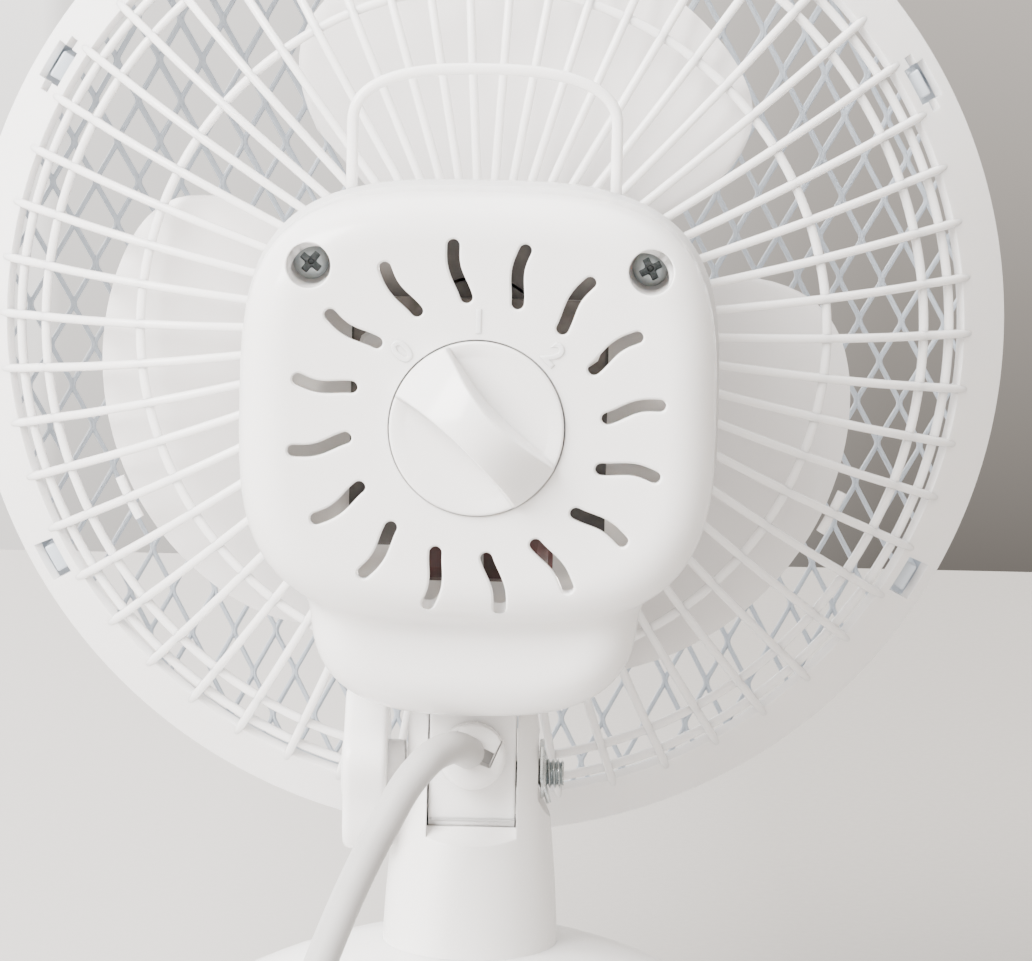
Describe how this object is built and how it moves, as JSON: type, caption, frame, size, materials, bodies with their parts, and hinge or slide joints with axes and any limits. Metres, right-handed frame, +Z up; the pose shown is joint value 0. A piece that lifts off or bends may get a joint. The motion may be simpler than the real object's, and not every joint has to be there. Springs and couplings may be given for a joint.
{
  "type": "desk fan",
  "caption": "Small table fan: round guard with a shallow mesh front, three wide blades, squared motor cover with a rear dial, tilting neck on a domed round base, mains lead with plug.",
  "frame": {"origin": "on the standing surface, under the middle of the round base", "axes": "+Z up, +Y the way the fan blows, +X to the right seen from behind"},
  "size_m": [0.1798, 0.2208, 0.2259],
  "materials": {
    "white_abs": "moulded gloss",
    "blade_pp": "moulded satin, slightly translucent",
    "mesh_grey": "moulded satin",
    "cord_pvc": "soft PVC",
    "zinc": "zinc plated",
    "steel": "plated steel",
    "lamination": "varnished steel laminations",
    "coil_tape": "taped winding",
    "bronze": "sintered bronze",
    "switch_black": "moulded",
    "rubber": "moulded",
    "pin_brass": "plated"
  },
  "bodies": {
    "stand": {"base_shell": "white_abs", "base_plate": "white_abs", "rubber_foot_1": "rubber", "rubber_foot_2": "rubber", "rubber_foot_3": "rubber", "rubber_foot_4": "rubber", "plate_screw_1": "steel", "plate_screw_2": "steel", "plate_screw_3": "steel", "neck_screw_1": "steel", "neck_screw_2": "steel", "neck_screw_3": "steel", "neck_column": "white_abs", "clip_nut": "steel", "power_cord": "cord_pvc", "cord_tail": "cord_pvc", "cord_coil": "cord_pvc", "cord_tie": "white_abs", "plug_body": "white_abs", "plug_pin_left": "pin_brass", "plug_pin_right": "pin_brass"},
    "head": {"motor_housing": "white_abs", "rear_cover": "white_abs", "cover_screw_left": "zinc", "cover_screw_right": "zinc", "switch_body": "switch_black", "stator_core": "lamination", "field_coil": "coil_tape", "front_bearing_bracket": "steel", "rear_bearing_bracket": "steel", "front_bearing": "bronze", "rear_bearing": "bronze", "motor_screw_left": "steel", "motor_screw_right": "steel", "rear_grille": "white_abs", "grille_screw_1": "steel", "grille_screw_2": "steel", "grille_screw_3": "steel", "grille_screw_4": "steel", "front_grille": "mesh_grey", "centre_badge": "white_abs", "cord_gland": "white_abs", "inner_leads": "switch_black"},
    "rotor": {"rotor_core": "lamination", "rotor_shaft": "steel", "fan_blade": "blade_pp"},
    "dial": {"speed_knob": "white_abs", "switch_spindle": "switch_black"},
    "clamp": {"tilt_knob": "white_abs", "tilt_bolt": "zinc"}
  },
  "joints": [
    {"name": "head_tilt", "type": "hinge", "parent": "stand", "child": "head", "pos_m": [0, -0.005, 0.063], "axis": [1, 0, 0], "range_deg": [-12, 35], "deforming": ["power_cord"]},
    {"name": "fan_spin", "type": "hinge", "parent": "head", "child": "rotor", "pos_m": [0, 0, 0.136], "axis": [0, 1, 0], "continuous": true},
    {"name": "knob_turn", "type": "hinge", "parent": "head", "child": "dial", "pos_m": [0, 0, 0.1245], "axis": [0, 1, 0], "range_deg": [0, 90]},
    {"name": "clamp_turn", "type": "hinge", "parent": "stand", "child": "clamp", "pos_m": [0, -0.005, 0.063], "axis": [1, 0, 0], "range_deg": [-180, 0]}
  ]
}
